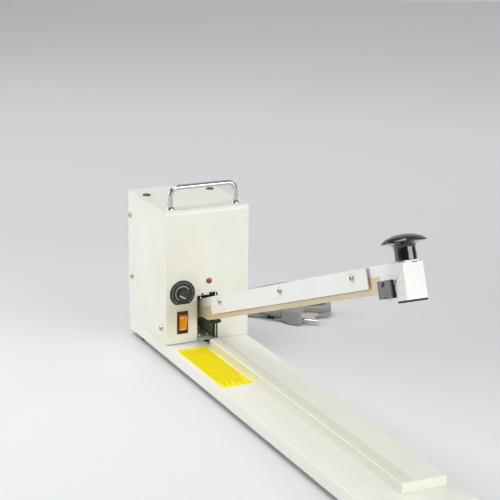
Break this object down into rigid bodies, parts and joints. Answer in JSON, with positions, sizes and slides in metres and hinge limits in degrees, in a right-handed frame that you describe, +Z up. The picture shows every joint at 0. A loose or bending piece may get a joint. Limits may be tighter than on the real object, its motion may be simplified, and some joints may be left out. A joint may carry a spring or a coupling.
{
  "type": "impulse sealer",
  "caption": "Long narrow heat sealer for bags: a sprung arm with a round pull knob and sliding film cutter closes on a flat bed; box housing with timer dial and carrying handle.",
  "frame": {"origin": "on the surface it stands on, below the middle of the length and width of the machine without its lead", "axes": "+X the right side seen from the control face, +Y from the open end of the arm towards the housing and its rear panel, +Z up"},
  "size_m": [0.3096, 0.7343, 0.266],
  "materials": {
    "cream_enamel": "semi-gloss enamel, off-white with a fine even grain",
    "zinc_steel": "plated, dull",
    "nickel_steel": "plated, bright",
    "chromed_steel": "polished",
    "core_steel": "varnished laminations",
    "blade_steel": "ground",
    "element_wire": "dull nickel chrome ribbon",
    "jaw_aluminium": "mill finish",
    "bronze": "sintered, dull",
    "black_rubber": "matt",
    "black_plastic": "fine matt",
    "knob_black": "polished",
    "dial_black": "matt with white printing",
    "grey_plastic": "fine matt",
    "orange_plastic": "polished, translucent",
    "red_lens": "polished, unlit",
    "cream_silicone": "smooth matt",
    "tan_cloth": "coated glass cloth, satin",
    "winding_tape": "varnished tape",
    "board_green": "solder mask",
    "nylon": "natural",
    "grey_lead": "smooth matt"
  },
  "bodies": {
    "base": {"arm_stop": "black_rubber", "base_pan": "cream_enamel", "bed_channel": "cream_enamel", "board_components": "black_plastic", "board_spacers": "nylon", "carrying_handle": "chromed_steel", "closing_switch": "black_plastic", "cord_hank": "grey_lead", "cord_tie": "black_plastic", "cover_angles": "zinc_steel", "cover_screws": "nickel_steel", "dial_plate": "dial_black", "floor_plate": "zinc_steel", "foot_screws": "zinc_steel", "fuse_holder": "black_plastic", "handle_collars": "chromed_steel", "handle_nuts": "zinc_steel", "housing_cover": "cream_enamel", "lamp_bezel": "black_plastic", "lamp_lens": "red_lens", "mains_cord": "grey_lead", "mains_plug": "grey_lead", "pivot_bracket": "zinc_steel", "pivot_pin": "nickel_steel", "plug_cord": "grey_lead", "plug_pins": "nickel_steel", "rear_panel": "cream_enamel", "return_spring": "nickel_steel", "rocker_frame": "black_plastic", "rubber_feet": "black_rubber", "shelf_screws": "nickel_steel", "silicone_pad": "cream_silicone", "spring_hanger": "nickel_steel", "strain_relief": "grey_lead", "timer_board": "board_green", "timer_potentiometer": "zinc_steel", "top_plugs": "black_plastic", "transformer_core": "core_steel", "transformer_strap": "zinc_steel", "transformer_winding": "winding_tape"},
    "arm": {"arm_channel": "cream_enamel", "spring_lug": "zinc_steel", "pivot_bush": "bronze", "jaw_bar": "jaw_aluminium", "heating_element": "element_wire", "release_cloth": "tan_cloth", "clamp_plate": "cream_enamel", "clamp_screws": "nickel_steel", "plate_spacers": "nickel_steel", "element_boot": "black_rubber", "end_cap": "cream_enamel", "end_pad": "black_rubber", "pull_knob": "knob_black", "knob_stud": "nickel_steel"},
    "cutter": {"cutter_carriage": "black_plastic", "cutter_cover": "grey_plastic", "cutter_blade": "blade_steel"},
    "timer": {"timer_knob": "black_plastic", "timer_shaft": "nickel_steel"},
    "rocker": {"rocker_key": "orange_plastic"}
  },
  "joints": [
    {"name": "arm_hinge", "type": "hinge", "parent": "base", "child": "arm", "pos_m": [0, 0.2215, 0.0504], "axis": [1, 0, 0], "range_deg": [0, 20.5], "stiffness_Nm_per_rad": 6, "springref_deg": -42.97, "deforming": ["return_spring"]},
    {"name": "cutter_slide", "type": "slide", "parent": "arm", "child": "cutter", "axis": [0, 0.9367, -0.3502], "range_m": [0, 0.4]},
    {"name": "timer_turn", "type": "hinge", "parent": "base", "child": "timer", "pos_m": [-0.0321, 0.1775, 0.0845], "axis": [0, 1, 0], "range_deg": [0, 270]},
    {"name": "rocker_tilt", "type": "hinge", "parent": "base", "child": "rocker", "pos_m": [-0.0321, 0.1891, 0.0487], "axis": [-1, 0, 0], "range_deg": [0, 14]}
  ]
}
